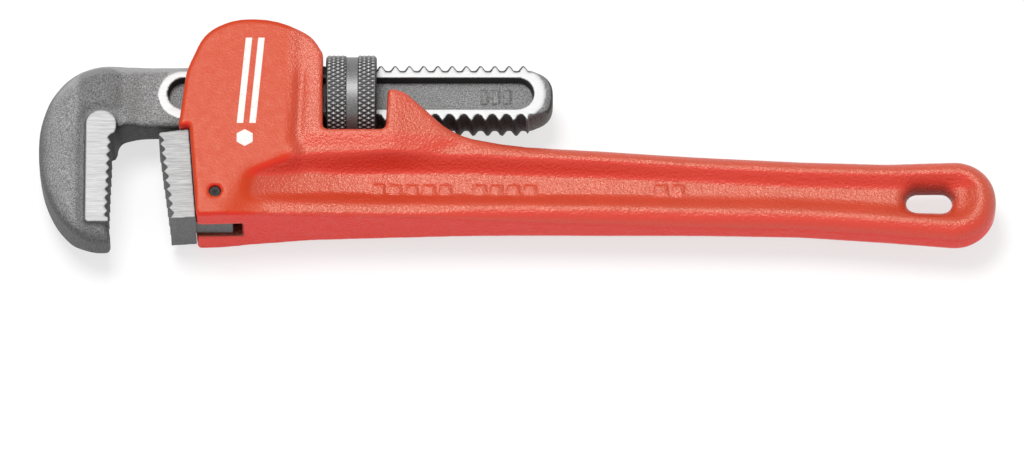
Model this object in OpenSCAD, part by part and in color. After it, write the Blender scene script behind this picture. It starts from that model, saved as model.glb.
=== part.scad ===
// Straight pipe wrench of the 300 mm size, lying on its side.
// It is drawn about the middle of the adjusting nut: X runs along the shank to the handle's end, Y from the
// handle up to the back of the head, Z through the thickness. put() moves that origin to the middle of the
// envelope's underside. All lengths are in mm.

/* [Nut and thread] */
// Pitch of the shank's thread
pitch = 4; // [3.5:0.1:4]
// Radius over the thread's crests
crest_r = 9.83; // [9.7:0.01:9.9]
// Radius at the thread's roots
root_r = 8.45; // [8.3:0.01:8.5]
// Outside radius of the adjusting nut
nut_r = 12.8; // [12.4:0.1:12.8]
// Half the length of the adjusting nut
nut_half = 7.1; // [6.5:0.05:7.1]

/* [Hook jaw] */
// Thickness of the shank across its flats
shank_t = 10.9; // [10:0.1:11.3]
// Thickness of the jaw across its ground faces
jaw_t = 19.5; // [18:0.1:20.5]
// Depth of the long recess in each flat
recess_depth = 3.4; // [2:0.1:3.4]
// Pitch of the hook jaw's teeth
hook_tooth = 2.62; // [2.4:0.02:2.62]

/* [Heel jaw] */
// Thickness of the heel jaw's tenon
tenon_t = 8; // [6:0.1:8.4]
// Radius of the pin through the heel jaw
pin_r = 1.75; // [1.5:0.05:2.2]
// Pitch of the heel jaw's teeth
heel_tooth = 2.77; // [2.5:0.01:2.77]

/* [Housing and handle] */
// Thickness of the head
head_t = 25; // [24:0.1:25.4]
// Thickness of the handle at its far end
handle_t = 13; // [12:0.1:14.5]
// Thickness of the web between the handle's flanges
web_t = 7; // [5:0.1:8]
// Half width of the shank's passage through the head
passage_half = 6.1; // [6:0.05:6.3]

/* [Hidden] */

$fn = 64;
arc_step = 9;                  // degrees between the points of a rounded corner
envelope_mid = [46.5, -12.6];  // middle of the envelope in the drawing frame
envelope_t = 25.6;             // thickness of the envelope, over the nut
far = 60;                      // reach of a cutter past the part

paint = [0.80, 0.16, 0.12];
forged = [0.45, 0.46, 0.47];
ground = [0.72, 0.73, 0.74];
black = [0.16, 0.16, 0.17];
sprung = [0.35, 0.37, 0.42];

function unit(v) = v / norm(v);
function flat(p) = [p[0], p[1]];

// The points that round the corner q between p and s with radius r.
function corner(p, q, s, r) =
    r == 0 ? [q] :
    let (u = unit(p - q), v = unit(s - q), half = acos(u * v) / 2)
    let (c = q + unit(u + v) * r / sin(half), t = r / tan(half))
    let (from = q + u * t - c, to = q + v * t - c)
    let (a = atan2(from[1], from[0]), turn = (atan2(to[1], to[0]) - a + 540) % 360 - 180)
    let (n = ceil(abs(turn) / arc_step))
    [for (i = [0:n]) c + r * [cos(a + turn * i / n), sin(a + turn * i / n)]];

// A closed outline from corners [x, y, radius].
function rounded(c) =
    let (n = len(c))
    [for (i = [0:n - 1]) each corner(flat(c[(i + n - 1) % n]), flat(c[i]), flat(c[(i + 1) % n]), c[i][2])];

// Part of a superellipse of exponent e about c, with half axes h.
function bow(c, h, e, from, to) =
    let (n = ceil(abs(to - from) / arc_step))
    [for (i = [0:n]) let (a = from + (to - from) * i / n)
        [c[0] + h[0] * sign(cos(a)) * pow(abs(cos(a)), 2 / e),
         c[1] + h[1] * sign(sin(a)) * pow(abs(sin(a)), 2 / e)]];

// A row of count notches along the line from a to b, each of the given depth to the line's left.
function notches(a, b, count, depth) =
    let (along = (b - a) / count, across = unit([a[1] - b[1], b[0] - a[0]]) * depth)
    [for (i = [0:count - 1], step = [0, 0.62]) a + along * (i + step) + (step == 0 ? [0, 0] : across)];

module put() translate([-envelope_mid[0], -envelope_mid[1], envelope_t / 2]) children();
module slab(outline, t) translate([0, 0, -t / 2]) linear_extrude(t) polygon(outline);
// A block whose shape is drawn from above, as half thickness z against x.
module side(outline) rotate([90, 0, 0]) linear_extrude(2 * far, center = true)
    polygon(concat(outline, [for (i = [len(outline) - 1:-1:0]) [outline[i][0], -outline[i][1]]]));
// A cylinder along Y from y0 to y1.
module post(x, y0, y1, r) translate([x, y1, 0]) rotate([90, 0, 0]) cylinder(r = r, h = y1 - y0);
// An obround along X between two centres.
module obround(x0, x1, y, r, t) translate([0, y, -t / 2]) union() {
    translate([x0, 0, 0]) cylinder(r = r, h = t);
    translate([x1, 0, 0]) cylinder(r = r, h = t);
    translate([x0, -r, 0]) cube([x1 - x0, 2 * r, t]);
}

// ---- handle_housing ----

notch_left = -7.9;
notch_right = 9.7;
notch_floor = -13.4;

housing_outline = rounded([
    [-48.3, -12.9, 0.6], [-46.2, 4.2, 18], [-41.3, 15.6, 12], [-33.3, 20.0, 18], [-22.1, 20.0, 25],
    [-11.2, 15.4, 11], [notch_left, 9.6, 1.2], [notch_left, notch_floor, 1.4],
    [notch_right, notch_floor, 1.6], [notch_right + 0.6, -0.9, 1.3], [15.2, -1.85, 5],
    [28.3, -13.2, 20], [46, -16.0, 60], [70, -17.15, 90], [126, -20.0, 90], [150, -20.7, 60],
    [180.6, -19.7, 11.3], [180.6, -44.9, 11.5], [150, -42.3, 60], [126, -40.6, 90],
    [70, -39.6, 90], [20, -38.7, 90], [-14, -38.8, 60], [-43.1, -39.9, 1.2], [-45.3, -12.35, 0]
]);

// Half thickness of the bottom of the head and of the handle, against x.
handle_side = [
    [-49, head_t / 2], [-38, head_t / 2], [-28, 11.3], [-14, 9.8], [10, 8.5], [28, 8], [70, 7.5],
    [98, handle_t / 2], [181, handle_t / 2]
];
// Half thickness of the upper part of the head, against x, out to the tip of the horn.
head_side = [[-49, head_t / 2], [14, head_t / 2], [22, 10], [30, 8]];
// The upper part of the head, as far down as it keeps that thickness.
head_part = rounded([
    [-52, 24, 0], [-52, -34, 0], [-36, -34, 6], [-20, -21.5, 8], [14, -17.4, 10], [30, -19, 0], [30, 24, 0]
]);
// The shank's passage opens slowly towards its mouth, so that the jaw can rock.
passage = [[-60, 12.5], [notch_left + 1, 10.6], [notch_left + 1, -10.6], [-60, -12.1]];
horn_gap = [[notch_right - 1, 4], [32, 4], [32, -12.4], [notch_right - 1, -11.2]];

hang_x = [158.9, 165.0];       // ends of the hang hole's middle line
hang_y = -31.7;
hang_r = 3.4;

trough_from = [-12.5, -28.9];
trough_to = [143, -31.2];
trough_flat = 1.2;             // half width of the flat in the trough's middle
trough_cove = 4.4;             // radius of the cove beside it
// Half the section of the trough in the handle's side, as distance from its middle and height.
trough_half = concat(
    [[0, web_t / 2], [trough_flat, web_t / 2]],
    [for (a = [0:15:60]) [trough_flat + trough_cove * sin(a), web_t / 2 + trough_cove * (1 - cos(a))]],
    [[6.9, 8], [8.4, head_t / 2 + 1], [0, head_t / 2 + 1]]
);
trough_run = trough_to - trough_from;
trough_angle = atan2(trough_run[1], trough_run[0]);

// A trough with round ends, open upwards.
module trough() translate([trough_from[0], trough_from[1], 0]) rotate([0, 0, trough_angle]) union() {
    rotate([0, 0, 90]) rotate_extrude(angle = 180) polygon(trough_half);
    translate([norm(trough_run), 0, 0]) rotate([0, 0, -90]) rotate_extrude(angle = 180) polygon(trough_half);
    rotate([90, 0, 90]) linear_extrude(norm(trough_run)) polygon(concat(
        trough_half,
        [for (i = [len(trough_half) - 2:-1:1]) [-trough_half[i][0], trough_half[i][1]]]
    ));
}

module handle_housing() color(paint) put() difference() {
    union() {
        intersection() {
            slab(housing_outline, head_t);
            side(handle_side);
        }
        intersection() {
            slab(housing_outline, head_t);
            slab(head_part, head_t);
            side(head_side);
        }
    }
    slab(passage, 2 * passage_half);
    slab(horn_gap, 2 * passage_half);
    slab([[-37, 9], [leaf_pocket_end, 9], [leaf_pocket_end, leaf_y], [-37, leaf_y]], 2 * leaf_pocket_half);
    post(rivet_x, 9, 22, rivet_r);
    post(coil_x, coil_floor, -9, coil_bore_r);
    slab([[-far, slot_top], [slot_end, slot_top], [slot_end, -far], [-far, -far]], tenon_t + 2 * tenon_gap);
    translate([heel_pin[0], heel_pin[1], -far]) cylinder(r = pin_r, h = 2 * far);
    trough();
    mirror([0, 0, 1]) trough();
    obround(hang_x[0], hang_x[1], hang_y, hang_r, far);
}

// ---- hook_jaw ----

thread_from = -22;
thread_turns = 18;
thread_end = 48;
shank_end = 56.6;
end_half = 9.2;       // half width of the shank's round end
end_r = 8.4;          // radius of its corners
neck_end = -49;       // where the neck passes into the shank
ring_x = -46.8;       // middle of the ring round the recess's first end
ring_r = 7.4;
recess_end = 46.5;    // middle of the recess's other end
recess_r = 4.7;
crest_half = 0.3;     // half width of a thread's crest
root_half = 1.35;     // half width of a thread where it meets the root
flank_slope = (root_half - crest_half) / (crest_r - root_r);
lead_angle = atan(pitch / (PI * (crest_r + root_r)));
ridge_foot_r = 8;     // a ridge starts inside the bar
ridge_foot_half = crest_half + (crest_r - ridge_foot_r) * flank_slope;

tooth_top = [-66.5, -15.3];   // root of the uppermost tooth, on the line that the teeth follow
tooth_lean = 0.0335;          // how far that line leans, per millimetre
tooth_root = 1.6;             // depth of a tooth's root behind the line
tooth_tip = 0.5;              // depth of its tip
tooth_rise = 0.45;            // height of the tip in a tooth's pitch

// The jaw's edge from the neck round to the foot of its teeth.
hook_outline = concat(
    [[-48, 8.7], [-60, 8.6]],
    bow([-66, -17], [21.6, 25.1], 2.2, 90, 180),
    bow([-69.7, -17], [17.9, 28], 2.05, 189, 270),
    corner([-69.7, -45], [-67.1, -45], [-67.7, -40], 1.2),
    [[-67.75, -39.6]],
    [for (i = [9:-1:0])
        let (down = hook_tooth * i, x = tooth_top[0] - tooth_lean * down, y = tooth_top[1] - down)
        each [[x - tooth_root, y], [x - tooth_tip, y + hook_tooth * tooth_rise]]],
    corner([-66.4, -13.8], [-65.9, -13.2], [-65.6, -12.2], 0.4),
    corner([-65.9, -13], [-65.0, -10.1], [-55, -10.07], 3),
    [[-48, -10.07]]
);
// Half thickness of the jaw and its neck, against x.
hook_side = [[-90, 8.2], [-84, jaw_t / 2], [-66.5, jaw_t / 2], [-59, 5.3], [-47, 5.3]];

// Ridges along one edge of the shank, s = 1 for the upper and -1 for the lower. Between the flats a turn of
// the thread is so short that a ring tilted by the lead angle follows it.
module ridges(first, turns, s) intersection() {
    union() for (i = [0:turns - 1]) translate([first + pitch * (i + 0.5), 0, 0])
        rotate([0, s * lead_angle, 0]) rotate([0, 90, 0]) rotate_extrude() polygon([
            [ridge_foot_r, -ridge_foot_half], [crest_r, -crest_half],
            [crest_r, crest_half], [ridge_foot_r, ridge_foot_half]
        ]);
    translate([-far, s > 0 ? 3 : -far - 3, -far]) cube([3 * far, far, 2 * far]);
}

module threaded_bar() intersection() {
    union() {
        translate([thread_from, 0, 0]) rotate([0, 90, 0]) cylinder(r = root_r, h = shank_end - thread_from);
        ridges(thread_from, thread_turns, 1);
        ridges(thread_from + pitch / 2, thread_turns - 1, -1);
    }
    slab(rounded([
        [thread_from, -far, 0], [thread_end, -far, 0], [thread_end, -end_half, 0],
        [shank_end, -end_half, end_r], [shank_end, end_half, end_r],
        [thread_end, end_half, 0], [thread_end, far, 0], [thread_from, far, 0]
    ]), shank_t);
}

module hook_jaw() color(forged) put() difference() {
    union() {
        intersection() {
            slab(hook_outline, jaw_t);
            side(hook_side);
        }
        intersection() {
            slab([[neck_end, -far], [thread_from, -far], [thread_from, far], [neck_end, far]], shank_t);
            translate([-far, 0, 0]) rotate([0, 90, 0]) cylinder(r = crest_r, h = 2 * far);
        }
        obround(ring_x, -40, -0.4, ring_r, shank_t);
        threaded_bar();
    }
    for (s = [-1, 1]) translate([0, 0, s * (shank_t - recess_depth)])
        obround(ring_x, recess_end, 0, recess_r, shank_t);
}

// ---- heel_jaw and its pin ----

heel_pin = [-37.9, -32.6];
slot_end = -30.5;
slot_top = -14.6;
tenon_gap = 0.4;       // gap beside the tenon in its slot
pin_gap = 0.1;         // gap round the pin in the tenon
pin_recess = 0.9;      // depth of the pin's ends below the cheeks
tooth_cut = 1.25;      // depth of a tooth
heel_top = [-53.9, -14.0];
heel_foot = [-50.5, -40.1];
heel_teeth = floor(norm(heel_foot - heel_top) / heel_tooth);
heel_outline = concat(
    [[-45.45, -12.75], [-53.6, -13.8]],
    notches(heel_top + [0, -0.6], heel_foot + [0, 0.6], heel_teeth, tooth_cut),
    [heel_foot, [-43.3, -39.6]]
);

module heel_jaw() color(ground) put() difference() {
    union() {
        slab(heel_outline, jaw_t);
        slab([[-46.5, -15], [-33, -15], [-33, -38.6], [-46.5, -38.6]], tenon_t);
    }
    translate([heel_pin[0], heel_pin[1], -far]) cylinder(r = pin_r + pin_gap, h = 2 * far);
}

module heel_jaw_pin() color(black) put() translate([heel_pin[0], heel_pin[1], -head_t / 2 + pin_recess])
    cylinder(r = pin_r, h = head_t - 2 * pin_recess);

// ---- adjusting_nut ----

thread_gap = 0.3;    // radial gap between the nut's thread and the shank's
flank_gap = 0.314;   // the same gap along the shank

// The space inside the nut: a full round thread, grown by those gaps.
module nut_thread() {
    turns = 6;
    step = 12;
    n = turns * 360 / step;
    x0 = -turns / 2 * pitch;
    crest = crest_r + thread_gap;
    foot = ridge_foot_r + thread_gap;
    crest_edge = crest_half + flank_gap - thread_gap * flank_slope;
    foot_edge = crest_edge + (crest - foot) * flank_slope;
    // Section of the ridge, whose foot is buried in the bore.
    section = [[-foot_edge, foot], [-crest_edge, crest], [crest_edge, crest], [foot_edge, foot]];
    k = len(section);
    pts = [for (i = [0:n], s = section) let (a = i * step)
        [x0 + pitch * a / 360 + s[0], s[1] * cos(a), s[1] * sin(a)]];
    polyhedron(pts, concat(
        [[for (j = [k - 1:-1:0]) j]],
        [[for (j = [0:k - 1]) n * k + j]],
        [for (i = [0:n - 1], j = [0:k - 1]) let (p = i * k + j, q = i * k + (j + 1) % k)
            each [[p, q + k, p + k], [p, q, q + k]]]
    ));
}

nut_core_r = 6;            // the turned blank starts inside the bore
nut_chamfer = 0.8;
groove = [-1.4, 1.9];      // ends of the plain groove between the knurled bands
groove_r = 12.3;

module adjusting_nut() color(black) put() difference() {
    rotate([0, 90, 0]) rotate_extrude() polygon([
        [nut_core_r, -nut_half], [nut_r - nut_chamfer, -nut_half], [nut_r, -nut_half + nut_chamfer],
        [nut_r, groove[0]], [groove_r, groove[0]], [groove_r, groove[1]], [nut_r, groove[1]],
        [nut_r, nut_half - nut_chamfer], [nut_r - nut_chamfer, nut_half], [nut_core_r, nut_half]
    ]);
    translate([-far, 0, 0]) rotate([0, 90, 0]) cylinder(r = root_r + thread_gap, h = 2 * far);
    nut_thread();
}

// ---- springs ----

leaf_y = 13.1;            // roof of the leaf spring's pocket
leaf_t = 0.8;
leaf_half = 4.2;
leaf_pocket_half = 4.7;
leaf_pocket_end = -11.5;
rivet_x = -16.5;
rivet_r = 1.5;
rivet_head_r = 2.7;
rivet_head_t = 1;
rivet_top = 16.8;
spring_gap = 0.05;        // gap between the leaf and its roof, and between its rivet's head and the leaf
coil_x = -25;
coil_floor = -21.5;
coil_bore_r = 3.7;
coil_r = 2.9;
wire_r = 0.5;
coil_turns = 6;
coil_gap = 0.1;           // gap under the coil
coil_top_gap = 0.3;       // gap between the coil and the shank

module flat_spring() color(sprung) put() difference() {
    slab(concat(
        [[-12.6, leaf_y - spring_gap], [-20, leaf_y - spring_gap], [-33.2, 11.25], [-36.2, 12.1]],
        [[-36.4, 11.3], [-33.1, 10.35], [-20, leaf_y - leaf_t], [-12.6, leaf_y - leaf_t]]
    ), 2 * leaf_half);
    post(rivet_x, 9, 22, rivet_r + 0.1);
}

module flat_spring_rivet() color(black) put() union() {
    post(rivet_x, leaf_y - leaf_t - rivet_head_t - spring_gap, leaf_y - leaf_t - spring_gap, rivet_head_r);
    post(rivet_x, leaf_y - leaf_t - rivet_head_t / 2, rivet_top, rivet_r);
}

module coil_spring() color(sprung) put() {
    sides = 8;
    step = 20;
    n = coil_turns * 360 / step;
    rise = -crest_r - coil_top_gap - 2 * wire_r - coil_floor - coil_gap;
    pts = [for (i = [0:n], j = [0:sides - 1]) let (a = i * step, b = j * 360 / sides)
        let (r = coil_r + wire_r * cos(b))
        [coil_x + r * cos(a), coil_floor + coil_gap + wire_r + rise * i / n + wire_r * sin(b), -r * sin(a)]];
    polyhedron(pts, concat(
        [[for (j = [sides - 1:-1:0]) j]],
        [[for (j = [0:sides - 1]) n * sides + j]],
        [for (i = [0:n - 1], j = [0:sides - 1]) let (p = i * sides + j, q = i * sides + (j + 1) % sides)
            each [[p, q + sides, p + sides], [p, q, q + sides]]]
    ));
}

handle_housing();
hook_jaw();
heel_jaw();
heel_jaw_pin();
adjusting_nut();
flat_spring();
flat_spring_rivet();
coil_spring();
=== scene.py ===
# A straight pipe wrench, built round its CAD frame. The housing, the jaws and the leaf spring are distance
# fields turned into meshes; the pin, the rivet, the coil spring and the knurled nut are swept directly.
# Inside the shape functions all lengths are in millimetres about the middle of the adjusting nut: x along the
# shank, y from the handle up to the back of the head, z through the thickness.
import itertools
import math

import bpy
import numpy as np
from mathutils import Matrix, Vector


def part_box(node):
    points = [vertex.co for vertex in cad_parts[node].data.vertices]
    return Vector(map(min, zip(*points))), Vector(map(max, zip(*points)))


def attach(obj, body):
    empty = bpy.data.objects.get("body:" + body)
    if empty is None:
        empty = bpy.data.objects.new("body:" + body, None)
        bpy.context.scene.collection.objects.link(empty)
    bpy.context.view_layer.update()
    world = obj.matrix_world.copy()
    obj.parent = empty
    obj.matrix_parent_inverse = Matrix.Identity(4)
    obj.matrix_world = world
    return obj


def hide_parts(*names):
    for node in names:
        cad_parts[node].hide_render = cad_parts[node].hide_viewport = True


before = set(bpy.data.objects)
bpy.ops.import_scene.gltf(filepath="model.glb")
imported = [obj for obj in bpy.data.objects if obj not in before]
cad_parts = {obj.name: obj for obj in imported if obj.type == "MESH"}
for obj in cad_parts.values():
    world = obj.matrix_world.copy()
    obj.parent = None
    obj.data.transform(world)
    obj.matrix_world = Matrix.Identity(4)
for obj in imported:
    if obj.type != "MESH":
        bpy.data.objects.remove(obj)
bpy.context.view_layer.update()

MM = 0.001
nut_low, nut_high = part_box("adjusting_nut")
HOME = (nut_low + nut_high) / 2          # middle of the nut, in the row frame

# ---- main sizes, as in the CAD source ----

PITCH = 4.0
CREST_R = 9.83
ROOT_R = 8.45
CREST_HALF = 0.3         # half the width of a thread at its crest
FLANK = 0.761            # how much that half width grows for each millimetre towards the root
THREAD_FROM, THREAD_TO = -22.0, 49.6
SHANK_END = 56.6
SHANK_HALF = 5.45
POCKET_DEPTH = 3.4       # the long recess in each of the shank's flats
NUT_R = 12.8
GROOVE_R = 12.3          # the nut between its two knurled bands
NUT_HALF = 7.1
NUT_GAP = 0.3            # play between the nut's thread and the shank's
NUT_CREST_HALF = 0.386
KNURLS = 54
JAW_HALF = 9.75
HOOK_TOOTH = 2.62        # pitch of the hook jaw's teeth
HEAD_HALF = 12.5
WEB_HALF = 3.5
NOTCH_LEFT, NOTCH_RIGHT, NOTCH_FLOOR = -7.9, 9.7, -13.4
PASSAGE_HALF = 6.1
SLOT_HALF = 4.4          # the heel jaw's slot
TENON_HALF = 4.0
HANG_X = (158.9, 165.0)
HANG_Y, HANG_R = -31.7, 3.4
RING_X, RING_Y, RING_R = -46.8, -0.4, 7.4
PIN = (-37.9, -32.6)
PIN_R = 1.75
RIVET_X = -16.5
COIL_X = -25.0
BORE_R, BORE_FLOOR = 3.7, -21.5
AXIS_R = 0.02            # turned profiles stop this far from their axis

# Small raised pads: their height, the rounding of their corners and the width of their soft edges.
PAD_HEIGHT, PAD_CORNER, PAD_SLOPE = 0.5, 0.2, 0.6
PAD_ROWS = ((6.2, 5), (34.6, 4), (85.4, 2))              # on the web: where a row starts, and its count
PAD_PITCH, PAD_WIDE, PAD_Y = 4.7, 2.9, (-30.0, -27.6)
BAR_X, BAR_WIDE, BAR_Y = (36.6, 39.8, 43.0), 1.5, (-1.8, 2.0)        # in the shank's recess

# ---- runs of (x, value) along the housing ----

# Half thickness of the head, and of the handle under it.
HEAD_RUN = [(-49, 12.5), (-16.6, 12.5), (-14.0, 11.8), (-11, 12.1), (12, 12.2), (16, 11.4), (22, 10.4),
            (30, 8.7), (36, 8)]
HANDLE_RUN = [(-49, 12.5), (-38, 12.4), (-28, 11.3), (-14, 9.8), (10, 8.5), (28, 8.0), (70, 7.5), (98, 6.6),
              (181, 6.5)]
# The line about which one fades into the other, and half the width of that fade.
FADE_LINE = [(-49, -60), (-38, -42), (-28, -29), (-18, -24), (16, -21.5), (26, -18.5), (34, -16.5),
             (181, -10)]
FADE_HALF = [(-49, 7.5), (-26, 7.5), (-14, 3.6), (0, 2.4), (181, 2.4)]
# The recess in the handle's side: the width of its cove, and how much of its depth it has reached.
COVE_WIDE = [(-49, 2.4), (-26, 2.6), (-18, 3.8), (-6, 5.2), (30, 4.9), (181, 4.9)]
RECESS_SHARE = [(-49, 0), (-30, 0), (-25, 0.22), (-16, 0.5), (-4, 0.8), (12, 1), (181, 1)]
# Rounding of the outer edges.
EDGE_ROUND = [(-49, 1.0), (-12, 1.0), (6, 1.2), (20, 1.6), (34, 3.2), (60, 4.4), (90, 4.8), (181, 4.8)]


# ---- outlines ----

def rounded(corners, step=8):
    """Closed outline from corners (x, y, radius)."""
    out = []
    for i, (x, y, r) in enumerate(corners):
        q = np.array([x, y], float)
        if r == 0:
            out.append(q)
            continue
        p = np.array(corners[i - 1][:2], float)
        s = np.array(corners[(i + 1) % len(corners)][:2], float)
        u = (p - q) / np.linalg.norm(p - q)
        v = (s - q) / np.linalg.norm(s - q)
        half = math.acos(float(np.clip(u @ v, -1, 1))) / 2
        c = q + (u + v) / np.linalg.norm(u + v) * r / math.sin(half)
        start, end = q + u * r / math.tan(half) - c, q + v * r / math.tan(half) - c
        a = math.atan2(start[1], start[0])
        turn = (math.atan2(end[1], end[0]) - a + 3 * math.pi) % (2 * math.pi) - math.pi
        n = max(1, math.ceil(abs(math.degrees(turn)) / step))
        for k in range(n + 1):
            b = a + turn * k / n
            out.append(c + r * np.array([math.cos(b), math.sin(b)]))
    return np.array(out)


def bow(centre, halves, power, start, end, step=5):
    """Part of a superellipse, as a list of points."""
    n = math.ceil(abs(end - start) / step)
    out = []
    for k in range(n + 1):
        a = math.radians(start + (end - start) * k / n)
        c, s = math.cos(a), math.sin(a)
        out.append([centre[0] + halves[0] * math.copysign(abs(c) ** (2 / power), c),
                    centre[1] + halves[1] * math.copysign(abs(s) ** (2 / power), s)])
    return out


HOUSING = rounded([
    (-48.3, -12.9, 0.6), (-46.2, 4.2, 18), (-41.3, 15.6, 12), (-33.3, 20.0, 18), (-22.1, 20.0, 25),
    (-11.2, 15.4, 11), (NOTCH_LEFT, 9.6, 1.2), (NOTCH_LEFT, NOTCH_FLOOR, 1.4),
    (NOTCH_RIGHT, NOTCH_FLOOR, 1.6),
    (NOTCH_RIGHT + 0.6, -0.9, 1.3), (15.2, -1.85, 5), (28.3, -13.2, 20), (46, -16.0, 60), (70, -17.15, 90),
    (126, -20.0, 90), (150, -20.7, 60), (180.6, -19.7, 11.3), (180.6, -44.9, 11.5),
    (150, -42.3, 60), (126, -40.6, 90), (70, -39.6, 90), (20, -38.7, 90), (-14, -38.8, 60),
    (-43.1, -39.9, 1.2), (-45.3, -12.35, 0)])

# The recess in the handle's side follows this outline at a distance.
HANDLE = rounded([
    (-44, -33.0, 4), (-30, -22.4, 14), (-13, -16.3, 24), (10, -15.6, 60), (34, -15.7, 60), (50, -16.4, 60),
    (70, -17.1, 90), (126, -20.0, 90), (150, -20.7, 60), (180.6, -19.7, 11.3), (180.6, -44.9, 11.5),
    (150, -42.3, 60), (126, -40.6, 90), (70, -39.6, 90), (20, -39.3, 90), (-14, -39.7, 60),
    (-44, -39.2, 4)])

# The hook jaw's back, from the neck round to its foot.
HOOK_BACK = ([[-43, 8.9], [-60, 8.8]]
             + bow((-66, -17), (21.6, 25.3), 2.2, 90, 180)
             + bow((-69.7, -17), (17.9, 28), 2.05, 186, 270)
             + [[-68.3, -45.0], [-67.5, -44.6], [-67.2, -43.6], [-67.75, -39.6]])


def hook_teeth():
    """The toothed edge of the hook jaw, from its foot up to the throat."""
    count, top_x, top_y = 10, -66.5, -15.3
    lean = 0.0878                # how far each tooth stands to the left of the one above it
    out = []
    for i in reversed(range(count)):
        x = top_x - lean * i
        y = top_y - HOOK_TOOTH * i
        out += [[x - 1.6, y], [x - 0.5, y + 1.18]]
    return out


def throat():
    """From the last tooth round into the underside of the neck."""
    return rounded([(-66.4, -14.12, 0), (-65.9, -13.0, 0.4), (-64.6, -10.1, 3.4), (-43, -10.07, 0)]).tolist()


HOOK_OUTLINE = np.array(HOOK_BACK + hook_teeth() + throat())


def heel_outline():
    """Outline of the heel jaw: a straight back, and teeth down its leaning face."""
    teeth, depth, pointed = 9, 1.25, 0.62
    top, foot = np.array([-53.9, -14.6]), np.array([-50.5, -39.5])
    along = (foot - top) / teeth
    inward = np.array([-along[1], along[0]]) / np.linalg.norm(along) * depth
    out = [[-45.45, -12.75], [-53.6, -13.8]]
    for i in range(teeth):
        out += [(top + along * i).tolist(), (top + along * (i + pointed) + inward).tolist()]
    return np.array(out + [[-50.5, -40.1], [-43.3, -39.6]])


# ---- distance fields ----

def polygon_field(x, y, pts):
    """Signed distance to a closed polygon on the grid x by y, negative inside."""
    gx, gy = np.meshgrid(x, y, indexing="ij")
    best = np.full(gx.shape, 1e9)
    inside = np.zeros(gx.shape, bool)
    for (ax, ay), (bx, by) in zip(pts, np.roll(pts, -1, axis=0)):
        ex, ey = bx - ax, by - ay
        t = np.clip(((gx - ax) * ex + (gy - ay) * ey) / (ex * ex + ey * ey + 1e-12), 0, 1)
        best = np.minimum(best, (gx - ax - t * ex) ** 2 + (gy - ay - t * ey) ** 2)
        if ay != by:
            crossing = ((ay > gy) != (by > gy)) & (gx < (bx - ax) * (gy - ay) / (by - ay) + ax)
            inside ^= crossing
    return np.where(inside, -1, 1) * np.sqrt(best)


def both(a, b, r):
    """Intersection of two fields, with its edge rounded to radius r."""
    return np.minimum(np.maximum(a + r, b + r), 0) + np.hypot(np.maximum(a + r, 0), np.maximum(b + r, 0)) - r


def either(a, b, r):
    """Union of two fields, with a fillet of radius r."""
    return -both(-a, -b, r)


def without(a, b, r):
    """a with b cut out of it, its edge rounded to radius r."""
    return both(a, -b, r)


def ease(t):
    """A smooth step from 0 at t = 0 to 1 at t = 1."""
    t = np.clip(t, 0, 1)
    return t * t * (3 - 2 * t)


def curve(x, points):
    """A smooth run through (x, value) points: straight pieces, blurred with a window of about 4.5 mm."""
    grain, window = 0.25, 19
    xs, values = zip(*points)
    fine = np.arange(xs[0], xs[-1], grain)
    kernel = np.hanning(window)
    padded = np.pad(np.interp(fine, xs, values), window // 2, mode="edge")
    return np.interp(x, fine, np.convolve(padded, kernel / kernel.sum(), mode="valid"))


def slab3(field, half, z, r):
    """A plate of that outline field and half thickness (a number or a grid), its edges rounded to r."""
    return both(field[:, :, None], np.abs(z)[None, None, :] - np.atleast_3d(half), r)


def box2(x, y, x0, x1, y0, y1):
    """Distance to a rectangle on the grid x by y."""
    dx = np.maximum(x0 - x, x - x1)[:, None]
    dy = np.maximum(y0 - y, y - y1)[None, :]
    return np.minimum(np.maximum(dx, dy), 0) + np.hypot(np.maximum(dx, 0), np.maximum(dy, 0))


def obround2(x, y, x0, x1, y0, r):
    """Distance to a slot with round ends on the grid x by y, its ends centred on x0 and x1."""
    dx = np.maximum(np.maximum(x0 - x, x - x1), 0)[:, None]
    return np.hypot(dx, (y - y0)[None, :]) - r


def disc2(u, v, centre, r):
    """Distance to a circle on the grid u by v."""
    return np.hypot((u - centre[0])[:, None], (v - centre[1])[None, :]) - r


def raised(x, y, x0, x1, y0, y1):
    """Height of a small raised pad with soft edges over the grid x by y."""
    return PAD_HEIGHT * ease(0.5 - (box2(x, y, x0, x1, y0, y1) - PAD_CORNER) / PAD_SLOPE)


def ripple(x, y, z, size, seed):
    """Smooth random waves of about that size and strength 1 on the grid."""
    waves, spread = 7, 2.2
    rng = np.random.default_rng(seed)
    total = np.zeros((len(x), len(y), len(z)), np.float32)
    for _ in range(waves):
        kx, ky, kz = rng.normal(size=3) / size * spread
        phase = rng.uniform(0, 2 * math.pi, 3)
        total += (np.sin(kx * x + phase[0])[:, None, None] * np.sin(ky * y + phase[1])[None, :, None]
                  * np.cos(kz * z + phase[2])[None, None, :])
    return total / spread


# ---- from field to mesh ----

CORNERS = list(itertools.product((0, 1), repeat=3))


def sample(field, origin, step, p):
    """The field at points p, by linear interpolation."""
    q = np.clip((p - origin) / step, 0, np.array(field.shape) - 1.001)
    i = q.astype(int)
    f = q - i
    out = np.zeros(len(p))
    for dx, dy, dz in CORNERS:
        share = abs(1 - dx - f[:, 0]) * abs(1 - dy - f[:, 1]) * abs(1 - dz - f[:, 2])
        out += share * field[i[:, 0] + dx, i[:, 1] + dy, i[:, 2] + dz]
    return out


def gradient(field, origin, step, p):
    """The field's change across one cell at points p, a row for each axis."""
    return np.array([sample(field, origin, step, p + e) - sample(field, origin, step, p - e)
                     for e in np.eye(3) * step * 0.5])


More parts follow.
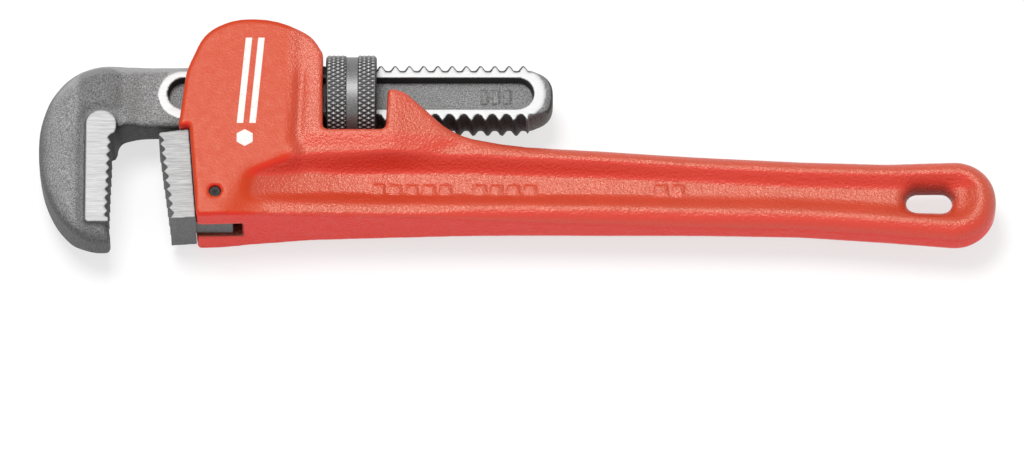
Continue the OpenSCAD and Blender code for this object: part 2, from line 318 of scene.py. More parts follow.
def directions(field, origin, step, p):
    """The x, y and z parts of the surface's direction at points p."""
    d = gradient(field, origin, step, p)
    return d / (np.sqrt((d * d).sum(0)) + 1e-9)


def surface(field, origin, step):
    """Vertices and quads of the field's zero surface, one vertex for each cell that it crosses."""
    nx, ny, nz = field.shape
    neg = field < 0
    count = np.zeros((nx - 1, ny - 1, nz - 1), np.int8)
    for dx, dy, dz in CORNERS:
        count += neg[dx:nx - 1 + dx, dy:ny - 1 + dy, dz:nz - 1 + dz]
    cells = np.argwhere((count > 0) & (count < len(CORNERS)))
    ids = np.full(count.shape, -1, np.int64)
    ids[tuple(cells.T)] = np.arange(len(cells))
    corner = {c: field[tuple((cells + c).T)].astype(float) for c in CORNERS}
    # Each vertex starts at the mean of the places where its cell's edges cross the surface.
    total = np.zeros((len(cells), 3))
    hits = np.zeros(len(cells))
    for axis in range(3):
        for a, b in itertools.product((0, 1), repeat=2):
            lo, hi = [a, b], [a, b]
            lo.insert(axis, 0)
            hi.insert(axis, 1)
            fa, fb = corner[tuple(lo)], corner[tuple(hi)]
            cross = (fa < 0) != (fb < 0)
            point = np.tile(np.array(lo, float), (len(cells), 1))
            point[:, axis] = np.where(cross, fa / np.where(cross, fa - fb, 1), 0)
            total += np.where(cross[:, None], point, 0)
            hits += cross
    verts = origin + step * (cells + total / hits[:, None])
    # Two short steps along the slope then pull it onto the surface.
    reach, least_slope = 0.35 * step, 0.05
    for _ in range(2):
        value = sample(field, origin, step, verts)
        slope = gradient(field, origin, step, verts).T / step
        norm = np.maximum((slope ** 2).sum(1), least_slope)
        verts += np.clip(-(value / norm)[:, None] * slope, -reach, reach)
    # A quad joins the four cells round each grid edge that crosses the surface.
    quads = []
    for axis in range(3):
        first = [slice(0, n) for n in field.shape]
        second = list(first)
        first[axis], second[axis] = slice(0, -1), slice(1, None)
        a, b = neg[tuple(first)], neg[tuple(second)]
        u, v = [(1, 2), (2, 0), (0, 1)][axis]
        for rising in (True, False):
            e = np.argwhere((a & ~b) if rising else (~a & b))
            side = e[:, [u, v]]
            e = e[((side > 0) & (side < [field.shape[u] - 1, field.shape[v] - 1])).all(1)]
            ring = []
            for du, dv in ((1, 1), (0, 1), (0, 0), (1, 0)):
                c = e.copy()
                c[:, u] -= du
                c[:, v] -= dv
                ring.append(ids[tuple(c.T)])
            quad = np.stack(ring, axis=1)
            quads.append(quad if rising else quad[:, ::-1])
    return verts, np.concatenate(quads)


def place(points):
    """Millimetres about the nut to metres in the row frame."""
    return np.asarray(points, float) * MM + np.array(HOME)


def mesh_piece(name, verts, quads, body, nodes, materials, attributes=None):
    """An object from millimetre vertices and faces of four, on its body, with its materials; its CAD nodes
    hidden.
    """
    me = bpy.data.meshes.new(name)
    quads = np.asarray(quads, np.int32)
    co = place(verts)
    me.vertices.add(len(co))
    me.vertices.foreach_set("co", co.astype(np.float32).ravel())
    me.loops.add(quads.size)
    me.loops.foreach_set("vertex_index", quads.ravel())
    me.polygons.add(len(quads))
    me.polygons.foreach_set("loop_start", np.arange(0, quads.size, quads.shape[1], dtype=np.int32))
    me.polygons.foreach_set("use_smooth", np.ones(len(quads), bool))
    me.update(calc_edges=True)
    me.validate()
    for key, values in (attributes or {}).items():
        layer = me.attributes.new(key, "FLOAT", "POINT")
        layer.data.foreach_set("value", np.asarray(values, np.float32))
    for m in materials:
        me.materials.append(m)
    ob = bpy.data.objects.new(name, me)
    bpy.context.scene.collection.objects.link(ob)
    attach(ob, body)
    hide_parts(*nodes)
    return ob


def field_grid(low, high, step):
    """Grid axes that reach two cells past the box."""
    axes = [np.arange(a - 2 * step, b + 2.5 * step, step) for a, b in zip(low, high)]
    return axes, np.array([a[0] for a in axes])


# ---- housing and handle ----

def housing_half(x, y, handle_in):
    """Half thickness of the housing over the grid x by y, with the handle's recess."""
    flange, valley_depth, dish_depth = 3.6, 0.85, 0.7
    gx, gy = np.meshgrid(x, y, indexing="ij")
    # Under the notch the head's surface slopes down to the recess.
    head = curve(gx, HEAD_RUN) - 1.5 * ease((-13.6 - gy) / 6.5) * ease((gx + 17) / 5)
    lower = curve(gx, HANDLE_RUN)
    fade = curve(gx, FADE_HALF)
    half = lower + (head - lower) * ease((gy - curve(gx, FADE_LINE) + fade) / (2 * fade))
    # A soft valley where the cheek ends.
    valley = np.exp(-((gx + 14.2 - 0.06 * gy) / 1.5) ** 2) * ease((gy + 20) / 5) * ease((8 - gy) / 8)
    half -= valley_depth * valley
    # The recess: from the crest of each flange down a cove to the web. It is shallow and narrow at its start.
    wide = curve(gx, COVE_WIDE) + 1.5 * ease((-28 - gy) / 3)
    fall = ease((handle_in - flange) / wide) * curve(gx, RECESS_SHARE)
    half = half - (half - WEB_HALF) * fall
    # The web dishes down to the hang hole.
    mouth = obround2(x, y, *HANG_X, HANG_Y, HANG_R)
    return half - dish_depth * ease((HANG_R - mouth) / HANG_R)


def housing_field(step):
    """The housing's distance field, and the origin of its grid."""
    (x, y, z), origin = field_grid((-48.6, -45.0, -12.6), (180.7, 20.1, 12.6), step)
    az = np.abs(z)[None, None, :]
    outline = polygon_field(x, y, HOUSING)
    half = housing_half(x, y, -polygon_field(x, y, HANDLE))
    # Rows of plain raised pads on the web, where castings carry their marks.
    for first, count in PAD_ROWS:
        for k in range(count):
            left = first + PAD_PITCH * k
            half += raised(x, y, left, left + PAD_WIDE, *PAD_Y)
    # The edge is sharper along the foot of the head.
    foot = ease((-8 - x) / 12)[:, None] * ease((-33 - y) / 4)[None, :]
    edge = curve(x, EDGE_ROUND)[:, None] - 0.45 * foot
    d = slab3(outline, half, z, edge[:, :, None])
    # The casting's skin is rougher away from the dressed cheek.
    cheek = ease((-17 - x) / 3)[:, None, None]
    d += 0.03 * ripple(x, y, z, 2.6, 3) * (1 - 0.85 * cheek)
    # Straight-sided openings: outline, half width, rounding inside and at the edge.
    passage = [[-60, 12.5], [NOTCH_LEFT + 1, 10.6], [NOTCH_LEFT + 1, -10.6], [-60, -12.1]]
    fork = [[NOTCH_RIGHT - 1.5, 6], [33, 6], [33, -12.5], [NOTCH_RIGHT - 1.5, -11.2]]
    leaf_room = box2(x, y, -37, -11.5, 0, 13.1)
    heel_slot = box2(x, y, -70, -30.5, -70, -14.6)
    for field2, wide, inner_r, edge_r in (
            (polygon_field(x, y, np.array(passage)), PASSAGE_HALF, 0.3, 0.5),
            (polygon_field(x, y, np.array(fork)), PASSAGE_HALF + 0.05, 0.6, 0.6),
            (leaf_room, 4.7, 0.2, 0.3),
            (heel_slot, SLOT_HALF, 0.3, 0.35)):
        d = without(d, both(field2[:, :, None], az - wide, inner_r), edge_r)
    # Round holes: through both cheeks for the pin, down for the coil spring, up into the roof for the rivet.
    d = without(d, disc2(x, y, PIN, PIN_R)[:, :, None] + 0 * az, 0.3)
    bore = disc2(x, z, (COIL_X, 0), BORE_R)[:, None, :]
    d = without(d, both(bore, np.maximum(BORE_FLOOR - y, y)[None, :, None], 0.3), 0.3)
    rivet = disc2(x, z, (RIVET_X, 0), 1.5)[:, None, :]
    d = without(d, both(rivet, (9 - y)[None, :, None], 0.1), 0.15)
    hole = obround2(x, y, *HANG_X, HANG_Y, HANG_R)
    d = without(d, hole[:, :, None] + 0 * az, 2.2)
    return d, origin


def make_housing(step=0.62):
    d, origin = housing_field(step)
    verts, quads = surface(d, origin, step)
    x, y, z = verts.T
    az = abs(z)
    cheek = ease((-15.5 - x) / 3) * ease((az - 10.4) / 0.9)
    # Painted shade: darker paint on the hang hole's upper wall and inside the heel jaw's slot.
    mouth = np.hypot(np.maximum(np.maximum(HANG_X[0] - x, x - HANG_X[1]), 0), y - HANG_Y)
    shade = ease((6.0 - mouth) / 3.2) * ease((5.2 - az) / 2.5) * ease((y + 32.2) / 2)
    slot = (az < SLOT_HALF + 0.15) & (x < -30.3) & (x > -48) & (y < -14.4) & (y > -39.4)
    _, ny, nz = directions(d, origin, step, verts)
    # upright and under pick out the faces whose red is painted as if lit differently: painted light.
    attributes = {"smooth": cheek, "shade": np.maximum(shade, slot), "upright": ease((0.5 - abs(nz)) / 0.4),
                  "under": ease(-ny / 0.6)}
    return mesh_piece("handle_and_housing", verts, quads, "housing", ["handle_housing"],
                      [paint()], attributes)


# ---- hook jaw ----

def thread_radius(x, y, z):
    """Radius of the shank's threaded surface at each grid point."""
    angle = np.arctan2(z[None, :], y[:, None])
    along = x[:, None, None] - PITCH * angle[None, :, :] / (2 * math.pi)
    off = np.abs((along + PITCH / 2) % PITCH - PITCH / 2)
    r = np.clip(CREST_R - (off - CREST_HALF) / FLANK, ROOT_R, CREST_R)
    gx = x[:, None, None]
    r = np.where(gx < THREAD_FROM, CREST_R, r)
    return np.where(gx > THREAD_TO, ROOT_R, r)


def hook_half(x, y):
    """Half thickness of the hook jaw over the grid, without its ground pad. It thins towards the tip."""
    gx, gy = np.meshgrid(x, y, indexing="ij")
    along = curve(gx, [(-90, 7.6), (-84, 8.8), (-76, 9.2), (-70, 9.1), (-66.5, 8.7), (-62.5, 7.1), (-59, 5.7),
                       (-55, 5.25), (-40, 5.25)])
    return along - 1.9 * ease((-41.2 - gy) / 3.5)


def hook_field(step):
    """The hook jaw's distance field, and the origin of its grid."""
    (x, y, z), origin = field_grid((-87.7, -45.1, -9.8), (56.7, 9.9, 9.8), step)
    az = np.abs(z)[None, None, :]
    gx = np.repeat(x[:, None], len(y), axis=1)
    body2 = polygon_field(x, y, HOOK_OUTLINE)
    back = polygon_field(x, y, np.array(HOOK_BACK + [[-60, -41], [-43, -14]]))
    pad2 = polygon_field(x, y, rounded([(-74.6, -41.2, 1.4), (-67.2, -41.2, 1.0), (-65.2, -6.65, 4.4),
                                        (-74.6, -6.65, 4.4)]))
    # A shallow valley runs round the ground pad.
    half = hook_half(x, y) - 0.8 * np.exp(-((pad2 - 0.8) / 1.6) ** 2)
    thick = az - half[:, :, None]
    # The back and the outside are forged round, the toothed side stays square.
    back_r = curve(gx, [(-90, 4.6), (-64, 4.4), (-57, 3.2), (-40, 3.0)])[:, :, None]
    front_r = 0.8 + 1.2 * ease((gx + 66) / 6)[:, :, None]
    body = np.maximum(both(back[:, :, None], thick, back_r), both(body2[:, :, None], thick, front_r))
    body = either(body, both((pad2 + 0.2)[:, :, None], az - JAW_HALF, 0.25), 0.7)
    body = both(body, body2[:, :, None] + 0 * az, 0.12)
    body += 0.05 * ripple(x, y, z, 4.0, 11) * ease((pad2[:, :, None] - 0.4) / 1.5)
    # The shank: a round bar with two flats, threaded on its edges. The thread's flanks lean, so the distance
    # to them is shorter than the one measured outwards.
    lean = 0.62
    rho = np.hypot(y[:, None], z[None, :])[None, :, :]
    bar = (rho - thread_radius(x, y, z)) * lean
    flats = az - SHANK_HALF
    end = polygon_field(x, y, rounded([(-44, 30, 0), (-44, -30, 0), (48, -30, 0), (48, -9.4, 0),
                                       (SHANK_END, -9.4, 8.5), (SHANK_END, 9.4, 8.5), (48, 9.4, 0),
                                       (48, 30, 0)]))
    bar = both(bar, flats, 0.22)
    end_r = 0.4 + 2.6 * ease((x - 48.5) / 4)[:, None, None]
    bar = both(bar, end[:, :, None] + 0 * az, end_r)
    d = either(body, bar, 0.5)
    ring = obround2(x, y, RING_X, -30, RING_Y, RING_R)
    d = either(d, both(ring[:, :, None], flats, 0.25), 0.6)
    # The long recess in each flat, with three plain raised bars on its floor.
    pocket2 = obround2(x, y, RING_X, 46.5, 0, 4.7)[:, :, None] + 0.06 * np.maximum(SHANK_HALF - az, 0)
    floor = SHANK_HALF - POCKET_DEPTH + sum(raised(x, y, x0, x0 + BAR_WIDE, *BAR_Y) for x0 in BAR_X)
    d = without(d, both(pocket2, floor[:, :, None] - az, 0.6), 0.2)
    return d, origin


def make_hook(step=0.39):
    d, origin = hook_field(step)
    verts, quads = surface(d, origin, step)
    _, ny, nz = directions(d, origin, step, verts)
    up = abs(nz)
    x, y, z = verts.T
    az = abs(z)
    # Painted light: faces turned towards the back of the hook are lighter, more so near its top.
    painted_back_light = ease(ny / 0.5) * ease((-44 - x) / 3) * ease((y + 30) / 30)
    # The bright rim runs round the recess in each flat, and on the ring at the neck.
    on_shank = (x > NUT_HALF) & (abs(y) < 8.6)
    on_ring = (np.hypot(x - RING_X, y - RING_Y) < RING_R + 0.1) & (x < -44)
    rim = (abs(az - SHANK_HALF) < 0.14) & (on_shank | on_ring) & (up > 0.93)
    ground = (up > 0.86) & (az > JAW_HALF - 0.22) | rim
    # Black scale stays in the thread. Painted shade darkens the recess's walls, and more thinly the sides and
    # the valley beside the ground pad; the jaw's inner face is blackened too.
    thread = (x > THREAD_FROM) & (x < 49) & (np.hypot(y, z) > ROOT_R - 0.6) & ~ground
    wall = (up < 0.6) & (az < SHANK_HALF - 0.2) & (az > 2.3) & (abs(y) < 5.2) & (x > -53)
    inner = (up < 0.6) & (x > -68.6) & (x < -48) & (y < -9) & (y > -41.5)
    inner_amount = np.where(inner, ease((-8 - y) / 3) * ease((y + 44) / 4), 0)
    side = ease((0.88 - up) / 0.5) * (0.62 - 0.42 * ease((y - 1) / 6))
    shade_beside_pad = 0.4 * ease((az - 7.2) / 1.2) * ease((JAW_HALF - az - 0.1) / 0.4) * ease((x + 77.5) / 2)
    black = np.maximum.reduce([(thread | wall).astype(float), inner_amount, side, shade_beside_pad])
    attributes = {"ground": ground.astype(float), "black": black, "rim": rim.astype(float), "painted_back_light": painted_back_light}
    return mesh_piece("hook_jaw_forging", verts, quads, "hook", ["hook_jaw"],
                      [forged_steel()], attributes)


# ---- heel jaw, pin, springs ----

def make_heel(step=0.26):
    (x, y, z), origin = field_grid((-54.0, -40.3, -9.8), (-32.9, -12.7, 9.8), step)
    az = np.abs(z)[None, None, :]
    d = both(polygon_field(x, y, heel_outline())[:, :, None], az - JAW_HALF, 0.2)
    tenon = both(box2(x, y, -46.5, -33, -38.6, -15)[:, :, None], az - TENON_HALF, 0.3)
    d = either(d, tenon, 0.25)
    d = without(d, disc2(x, y, PIN, PIN_R + 0.1)[:, :, None] + 0 * az, 0.2)
    verts, quads = surface(d, origin, step)
    black = ease((0.75 - abs(directions(d, origin, step, verts)[2])) / 0.2)
    return mesh_piece("heel_jaw_insert", verts, quads, "housing", ["heel_jaw"],
                      [brushed_steel()], {"black": black})


def lathe(profile, steps, axis, centre):
    """A closed ring mesh: profile points (along, radius) turned round an axis through centre."""
    n = len(profile)
    verts = []
    for k in range(steps):
        a = 2 * math.pi * k / steps
        for along, r in profile:
            p = [0, 0, 0]
            p[axis] = along
            p[(axis + 1) % 3] = r * math.cos(a)
            p[(axis + 2) % 3] = r * math.sin(a)
            verts.append([p[i] + centre[i] for i in range(3)])
    quads = []
    for k in range(steps):
        k2 = (k + 1) % steps
        for j in range(n):
            j2 = (j + 1) % n
            quads.append([k * n + j, k * n + j2, k2 * n + j2, k2 * n + j])
    return verts, quads


def make_pin():
    """A plain pin with a chamfer at each end and a shallow dimple in one."""
    half, side_r = HEAD_HALF - 0.9, PIN_R - 0.02
    profile = [(-half, AXIS_R), (-half, 1.3), (-half + 0.4, side_r), (half - 0.4, side_r), (half, 1.3),
               (half - 0.25, 0.9), (half - 0.3, AXIS_R)]
    verts, quads = lathe(profile[::-1], 48, 2, (PIN[0], PIN[1], 0))
    return mesh_piece("heel_pin", verts, quads, "housing", ["heel_jaw_pin"], [dark_steel()])


def make_rivet():
    profile = [(11.25, AXIS_R), (11.25, 1.6), (11.6, 2.45), (12.0, 2.68), (12.22, 2.6), (12.24, 1.5),
               (16.6, 1.48), (16.75, 1.2), (16.8, AXIS_R)]
    verts, quads = lathe(profile, 48, 1, (RIVET_X, 0, 0))
    return mesh_piece("leaf_rivet", verts, quads, "housing", ["flat_spring_rivet"],
                      [dark_steel()])


def make_leaf(step=0.2):
    """The leaf spring: flat at its riveted end, then sloping down, with its free tip turned up."""
    (x, y, z), origin = field_grid((-36.5, 10.2, -4.3), (-12.5, 13.2, 4.3), step)
    side = rounded([(-12.6, 13.05, 0.1), (-20, 13.05, 12), (-33.4, 11.1, 1.6), (-36.2, 12.1, 0.2),
                    (-36.5, 11.3, 0.2), (-33.2, 10.3, 1.2), (-20, 12.25, 12), (-12.6, 12.25, 0.1)])
    plan = both((np.maximum(x + 12.6, -36.6 - x))[:, None, None], np.abs(z)[None, None, :] - 4.2, 1.4)
    d = both(polygon_field(x, y, side)[:, :, None] + 0 * z[None, None, :], plan, 0.15)
    hole = disc2(x, z, (RIVET_X, 0), 1.6)
    d = without(d, hole[:, None, :] + 0 * y[None, :, None], 0.1)
    verts, quads = surface(d, origin, step)
    return mesh_piece("leaf_spring", verts, quads, "rocker", ["flat_spring"],
                      [spring_steel()])


def make_coil():
    """A compression spring in its bore under the shank: six turns, closed at both ends."""
    turns, sides, per_turn = 6, 14, 40
    coil_r, wire_r = 2.9, 0.5
    low, high = BORE_FLOOR + 0.1 + wire_r, -CREST_R - 0.3 - wire_r
    n = turns * per_turn
    t = np.linspace(0, 1, n + 1)
    closing = 0.055              # how much closer the turns lie at the two ends
    rise = low + (high - low) * (t - closing * np.sin(2 * math.pi * t))
    a = 2 * math.pi * turns * t
    verts = []
    for k in range(n + 1):
        for j in range(sides):
            b = 2 * math.pi * j / sides
            r = coil_r + wire_r * math.cos(b)
            verts.append([COIL_X + r * math.cos(a[k]), rise[k] + wire_r * math.sin(b), -r * math.sin(a[k])])
    quads = []
    for k in range(n):
        for j in range(sides):
            j2 = (j + 1) % sides
            quads.append([k * sides + j, k * sides + j2, (k + 1) * sides + j2, (k + 1) * sides + j])
    # Each end is closed with quads about a middle point.
    for base, order in ((0, 1), (n * sides, -1)):
        ring = list(range(base, base + sides))[::-order]
        verts.append(np.mean([verts[i] for i in ring], axis=0).tolist())
        tip = len(verts) - 1
        quads += [[ring[j], ring[(j + 1) % sides], ring[(j + 2) % sides], tip] for j in range(0, sides, 2)]
    return mesh_piece("coil_spring_wire", verts, quads, "housing", ["coil_spring"],
                      [spring_steel()])


# ---- knurled nut ----

def wave(p):
    """A triangle wave between 0 and 1."""
    return 1 - np.abs(2 * (p - np.floor(p)) - 1)


def nut_outer(theta, x):
    """Outer radius of the nut: two bands of diamond knurl, a plain groove and chamfered ends."""
    axial, depth, chamfer = 2.45, 0.45, 0.75
    turn = theta * KNURLS / (2 * math.pi)
    peak = np.minimum(wave(turn + x / axial), wave(turn - x / axial))
    peak = np.clip(peak * 1.15, 0, 1)
    band = ease((-1.35 - x) / 0.25) + ease((x - 1.85) / 0.25)
    knurl = depth * (1 - peak) * band * ease((NUT_HALF - 0.25 - np.abs(x)) / 0.5)
    r = GROOVE_R + (NUT_R - GROOVE_R) * band - knurl
    return r - chamfer * ease((np.abs(x) - NUT_HALF + chamfer) / chamfer) ** 1.5


def nut_inner(theta, x):
    """Inner radius of the nut: the thread that the shank runs in, opened out at both ends."""
    crest, root = CREST_R + NUT_GAP, ROOT_R + NUT_GAP
    off = np.abs((x - PITCH * theta / (2 * math.pi) + PITCH / 2) % PITCH - PITCH / 2)
    r = np.clip(crest - (off - NUT_CREST_HALF) / FLANK, root, crest)
    return np.maximum(r, root + 1.5 * ease((np.abs(x) - NUT_HALF + 1.1) / 1.1))


def make_nut():
    around = KNURLS * 8
    outer_x = np.concatenate([np.linspace(-NUT_HALF, -1.1, 44), np.linspace(-0.9, 1.4, 6),
                              np.linspace(1.6, NUT_HALF, 40)])
    inner_x = np.linspace(NUT_HALF, -NUT_HALF, 62)
    theta = np.linspace(0, 2 * math.pi, around, endpoint=False)
    outer = [nut_outer(theta, x) for x in outer_x]
    inner = [nut_inner(theta, x) for x in inner_x]
    verts = np.concatenate([np.stack([np.full(around, x), r * np.cos(theta), r * np.sin(theta)], axis=1)
                            for x, r in zip([*outer_x, *inner_x], outer + inner)])
    n = len(outer) + len(inner)
    i, j = np.meshgrid(np.arange(n), np.arange(around), indexing="ij")
    i2, j2 = (i + 1) % n, (j + 1) % around
    quads = np.stack([i * around + j, i * around + j2, i2 * around + j2, i2 * around + j], axis=-1)
    # Knurl crests are painted lighter as a highlight and the pits between them darker as shade, on the two
    # bands only.
    high = np.concatenate(outer + [np.zeros(around)] * len(inner))
    on_band = np.concatenate([(outer_x < -1.3) | (outer_x > 1.8), np.zeros(len(inner), bool)])
    pit_shade = np.where(np.repeat(on_band, around), ease((12.62 - high) / 0.2), 0)
    return mesh_piece("knurled_nut", verts, quads.reshape(-1, 4)[:, ::-1], "nut", ["adjusting_nut"],
                      [nut_steel()], {"crest": ease((high - 12.5) / 0.3), "pit_shade": pit_shade})


# ---- materials ----

class Nodes:
    """A small helper for node trees: it adds nodes and joins them by socket name."""

    def __init__(self, name):
        self.material = bpy.data.materials.new(name)
        self.material.use_nodes = True
        self.tree = self.material.node_tree
        self.shader = self.tree.nodes["Principled BSDF"]

    def add(self, kind, inputs=None, **settings):
        node = self.tree.nodes.new("ShaderNode" + kind)
        for key, value in settings.items():
            setattr(node, key, value)
        for key, value in (inputs or {}).items():
            if isinstance(value, bpy.types.NodeSocket):
                self.tree.links.new(value, node.inputs[key])
            else:
                node.inputs[key].default_value = value
        return node

    def set(self, **values):
        for key, value in values.items():
            socket = self.shader.inputs[key.replace("_", " ")]
            if isinstance(value, bpy.types.NodeSocket):
                self.tree.links.new(value, socket)
            else:
                socket.default_value = value

    def local(self, stretch=(1, 1, 1)):
        """Object coordinates in millimetres, divided by stretch."""
        where = self.add("TexCoord")
        scale = [1 / (MM * s) for s in stretch]
        return self.add("Mapping", {"Vector": where.outputs["Object"], "Scale": scale}).outputs["Vector"]

    def axes(self):
        """The x, y and z coordinates in millimetres about the middle of the nut."""
        where = self.add("SeparateXYZ", {"Vector": self.local()})
        return [self.maths("SUBTRACT", where.outputs[axis], home / MM) for axis, home in zip("XYZ", HOME)]

    def noise(self, size, detail=3, rough=0.5, stretch=(1, 1, 1)):
        """Noise with features of about size millimetres."""
        return self.add("TexNoise", {"Vector": self.local(stretch), "Scale": 1 / size, "Detail": detail,
                                     "Roughness": rough}).outputs["Fac"]

    def ramp(self, value, low, high, to_low=0.0, to_high=1.0):
        """value, taken from the span low to high over to another span, and held there at its ends."""
        return self.add("MapRange", {"Value": value, "From Min": low, "From Max": high, "To Min": to_low,
                                     "To Max": to_high}).outputs["Result"]

    def mix(self, factor, a, b, kind="RGBA"):
        """A blend of two colours, two numbers (FLOAT) or two directions (VECTOR)."""
        node = self.add("Mix", data_type=kind)
        socket_type = "VALUE" if kind == "FLOAT" else kind
        for key, wanted, value in (("Factor", "VALUE", factor), ("A", socket_type, a), ("B", socket_type, b)):
            socket = next(s for s in node.inputs if s.name == key and s.type == wanted and s.enabled)
            if isinstance(value, bpy.types.NodeSocket):
                self.tree.links.new(value, socket)
            else:
                socket.default_value = value
        return next(s for s in node.outputs if s.enabled)

    def maths(self, operation, a, b=0.0):
        return self.add("Math", {0: a, 1: b}, operation=operation).outputs[0]

    def bump(self, height, distance, strength=1.0, normal=None):
        """A bumped normal; distance is in millimetres."""
        inputs = {"Height": height, "Distance": distance * MM, "Strength": strength}
        if normal is not None:
            inputs["Normal"] = normal
        return self.add("Bump", inputs).outputs["Normal"]

    def attribute(self, name):
        return self.add("Attribute", attribute_name=name).outputs["Fac"]


def grey(v, tint=0.0):
    """A grey, a little warmer where tint is above 0."""
    return (v * (1 + tint), v, v * (1 - tint), 1)


def stripe(n, x, y, x0, x1, y0, y1, lean):
    """A mask that is 1 inside a straight bar; the bar's x leans with y."""
    slid = n.maths("SUBTRACT", x, n.maths("MULTIPLY", y, lean))
    edge = 0.12
    inside = n.ramp(slid, x0, x0 + edge)
    for value, low, high in ((slid, x1, x1 - edge), (y, y0, y0 + edge), (y, y1, y1 - edge)):
        inside = n.maths("MULTIPLY", inside, n.ramp(value, low, high))
    return inside


def hexagon(n, x, y, centre, low, high):
    """A mask that is 1 inside a regular hexagon; it fades from half width low to half width high."""
    dx, dy = (n.maths("SUBTRACT", value, at) for value, at in zip((x, y), centre))
    inside = 1.0
    for k in range(3):
        a = math.radians(60 * k)
        across = n.maths("ADD", n.maths("MULTIPLY", dx, math.cos(a)), n.maths("MULTIPLY", dy, math.sin(a)))
        inside = n.maths("MULTIPLY", inside, n.ramp(n.maths("ABSOLUTE", across), high, low))
    return inside


def paint():
    n = Nodes("Red enamel on cast iron")
    light, deep, dressed = (0.46, 0.039, 0.012, 1), (0.50, 0.045, 0.016, 1), (0.455, 0.036, 0.007, 1)
    # The next two reds are lit copies of the paint, for faces turned to the handle's lower edge: painted
    # light. The last, dark, is painted shade.
    painted_light_side, painted_light_wall, dark = (0.64, 0.028, 0.014, 1), (0.78, 0.040, 0.028, 1), (0.09, 0.012, 0.008, 1)
    white = (0.66, 0.62, 0.61, 1)
    smooth, under = n.attribute("smooth"), n.attribute("under")
    wall = n.maths("MULTIPLY", n.attribute("upright"), under)
    # Painted light: the red is deeper on faces that turn to the handle's lower edge, most of all on its
    # upright wall.
    red = n.mix(n.ramp(n.noise(14), 0.35, 0.7), light, deep)
    red = n.mix(smooth, red, dressed)
    red = n.mix(under, red, painted_light_side)
    red = n.mix(wall, red, painted_light_wall)
    # Painted shade: the hang hole's upper wall and the inside of the slot are mixed towards a dark red.
    red = n.mix(n.maths("MULTIPLY", n.attribute("shade"), 0.8), red, dark)
    # Two plain bars and a hexagon are printed on both cheeks, a little worn.
    x, y, z = n.axes()
    cheek = n.ramp(n.maths("ABSOLUTE", z), HEAD_HALF - 0.4, HEAD_HALF - 0.2)
    bars = [stripe(n, x, y, x0, x0 + 1.9, -12.2, 14.0, 0.09) for x0 in (-30.9, -27.4)]
    mark = n.maths("MAXIMUM", n.maths("MAXIMUM", *bars), hexagon(n, x, y, (-29.7, -16.6), 2.15, 2.3))
    mark = n.maths("MULTIPLY", mark, cheek)
    worn = n.maths("MULTIPLY", mark, n.ramp(n.noise(1.2, 4, 0.7), 0.33, 0.38))
    n.set(Base_Color=n.mix(worn, red, white))
    gloss = n.maths("MULTIPLY", n.ramp(smooth, 0, 1, 1.0, 0.27), n.ramp(wall, 0, 1, 1.0, 0.12))
    n.set(Roughness=n.ramp(n.noise(2.5, 4), 0.3, 0.7, 0.29, 0.39), Specular_IOR_Level=gloss,
          Specular_Tint=(1.0, 0.84, 0.70, 1))
    peel = n.bump(n.noise(0.75, 3, 0.6), 0.32, n.ramp(smooth, 0, 1, 1.0, 0.14))
    n.set(Normal=n.bump(n.noise(0.4, 2, 0.6), 0.05, 0.8, peel))
    return n.material


def forged_steel():
    n = Nodes("Blasted forging with ground faces")
    ground, black = n.attribute("ground"), n.attribute("black")
    speck = n.noise(0.38, 4, 0.75)
    scale = n.mix(n.ramp(speck, 0.38, 0.64), grey(0.07), grey(0.38))
    scale = n.mix(n.ramp(n.noise(9), 0.3, 0.7, 0.0, 0.35), scale, grey(0.13, 0.02))
    # Painted light: lighter grey on the faces turned towards the hook's back.
    scale = n.mix(n.maths("MULTIPLY", n.attribute("painted_back_light"), 0.5), scale, grey(0.45))
    # black: scale on the thread, painted shade on the recess walls, the sides and beside the pad, and a darker
    # inner face.
    scale = n.mix(n.maths("MULTIPLY", black, 0.93), scale, grey(0.014))
    lines = n.noise(0.22, 4, 0.7, (26, 1, 1))
    bright = n.mix(n.ramp(lines, 0.32, 0.68), grey(0.23), grey(0.41))
    bright = n.mix(n.maths("MULTIPLY", n.attribute("rim"), 0.48), bright, grey(0.62))
    n.set(Base_Color=n.mix(ground, scale, bright), Metallic=n.ramp(ground, 0, 1, 0.35, 0.5))
    n.set(Roughness=n.mix(ground, n.ramp(speck, 0.3, 0.7, 0.66, 0.5), 0.55, "FLOAT"))
    pitted = n.bump(n.noise(0.25, 2), 0.06, 0.6, n.bump(speck, 0.2, 0.9))
    n.set(Normal=n.mix(ground, pitted, n.bump(lines, 0.03, 0.5), "VECTOR"))
    return n.material


def brushed_steel():
    n = Nodes("Ground tool steel")
    lines = n.noise(0.2, 4, 0.7, (24, 1, 24))
    tone = n.mix(n.ramp(lines, 0.32, 0.68), grey(0.19), grey(0.35))
    tone = n.mix(n.ramp(n.noise(6, 2), 0.3, 0.7, 0.0, 0.3), tone, grey(0.30, 0.015))
    blacked = n.mix(n.ramp(n.noise(0.6), 0.3, 0.7), grey(0.09), grey(0.15))
    n.set(Base_Color=n.mix(n.attribute("black"), tone, blacked), Metallic=0.5,
          Roughness=n.ramp(lines, 0.3, 0.7, 0.6, 0.5), Normal=n.bump(lines, 0.04, 0.7))
    return n.material


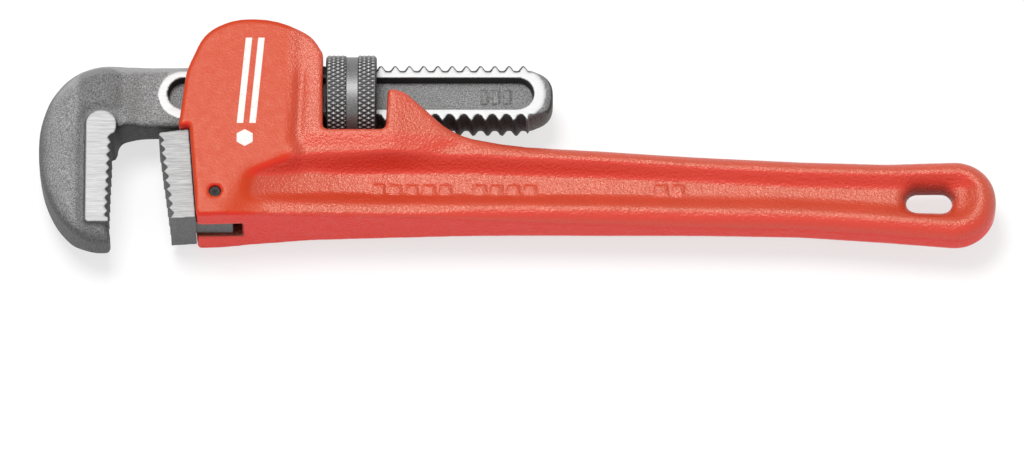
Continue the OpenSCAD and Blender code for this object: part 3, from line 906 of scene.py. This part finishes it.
def nut_steel():
    n = Nodes("Knurled dark steel")
    speck = n.noise(0.5, 3, 0.6)
    dark = n.mix(n.ramp(speck, 0.3, 0.7), grey(0.14), grey(0.23))
    # Painted shade in the knurl's pits; the crests below get a painted highlight.
    dark = n.mix(n.attribute("pit_shade"), dark, grey(0.03))
    bright = n.mix(n.ramp(speck, 0.35, 0.65), grey(0.34), grey(0.52))
    n.set(Base_Color=n.mix(n.attribute("crest"), dark, bright), Metallic=0.7,
          Roughness=n.ramp(speck, 0.3, 0.7, 0.40, 0.54), Normal=n.bump(speck, 0.06, 0.6))
    return n.material


def dark_steel():
    n = Nodes("Dark pin steel")
    speck = n.noise(0.4)
    n.set(Base_Color=n.mix(n.ramp(speck, 0.3, 0.7), grey(0.012), grey(0.04)), Metallic=0.25,
          Roughness=n.ramp(speck, 0.3, 0.7, 0.6, 0.75), Normal=n.bump(speck, 0.04, 0.5))
    return n.material


def spring_steel():
    n = Nodes("Blued spring steel")
    blue, brown = (0.09, 0.10, 0.15, 1), (0.16, 0.15, 0.17, 1)
    n.set(Base_Color=n.mix(n.ramp(n.noise(3), 0.3, 0.7), blue, brown), Metallic=0.9,
          Roughness=n.ramp(n.noise(0.4), 0.3, 0.7, 0.28, 0.42), Normal=n.bump(n.noise(0.3, 2), 0.02, 0.4))
    return n.material


def floor_material():
    n = Nodes("Plain pale floor")
    n.set(Base_Color=(0.3, 0.3, 0.3, 1), Roughness=0.8, Specular_IOR_Level=0.1,
          Emission_Color=(1, 1, 1, 1), Emission_Strength=0.65)
    return n.material


# ---- stage, light and camera ----

def make_floor():
    half = 6.0
    corners = [(-half, -half, 0), (half, -half, 0), (half, half, 0), (-half, half, 0)]
    me = bpy.data.meshes.new("floor")
    me.from_pydata(corners, [], [(0, 1, 2, 3)])
    me.materials.append(floor_material())
    ob = bpy.data.objects.new("floor", me)
    bpy.context.scene.collection.objects.link(ob)


def soft_light(name, direction, distance, size, power):
    """A round area light that faces the middle of the nut from that direction."""
    data = bpy.data.lights.new(name, "AREA")
    data.shape = "DISK"
    data.size = size
    data.energy = power
    ob = bpy.data.objects.new(name, data)
    away = Vector(direction).normalized()
    ob.location = HOME + away * distance
    ob.rotation_mode = "QUATERNION"
    ob.rotation_quaternion = away.to_track_quat("Z", "Y")
    bpy.context.scene.collection.objects.link(ob)


def make_light():
    """An even room with one large lamp nearly overhead."""
    world = bpy.data.worlds.new("Soft room")
    world.use_nodes = True
    room = world.node_tree.nodes["Background"]
    room.inputs["Color"].default_value = (1, 1, 1, 1)
    room.inputs["Strength"].default_value = 0.68
    bpy.context.scene.world = world
    soft_light("Key", (-0.14, 0.23, 0.96), distance=1.6, size=0.72, power=22)
    bpy.context.scene.view_settings.view_transform = "Standard"


def make_camera():
    """Nearly overhead, leaning to the handle's side, on a long lens."""
    lean = math.radians(23.1)
    distance = 4.0
    sensor = 36
    width = 1024 * 0.28 * MM             # of the view where the camera aims
    away = Vector((0, -math.sin(lean), math.cos(lean)))
    right = Vector((0, 1, 0)).cross(away).normalized()
    aim = HOME + Vector((45.1, -38.5, 0)) * MM
    data = bpy.data.cameras.new("Camera")
    data.sensor_width = sensor
    data.lens = sensor * distance / width
    data.clip_end = 20
    ob = bpy.data.objects.new("Camera", data)
    turn = Matrix((right, away.cross(right), away)).transposed()
    ob.matrix_world = Matrix.Translation(aim + away * distance) @ turn.to_4x4()
    bpy.context.scene.collection.objects.link(ob)
    bpy.context.scene.camera = ob


make_camera()
make_light()
make_floor()
make_housing()
make_hook()
make_heel()
make_pin()
make_rivet()
make_leaf()
make_coil()
make_nut()
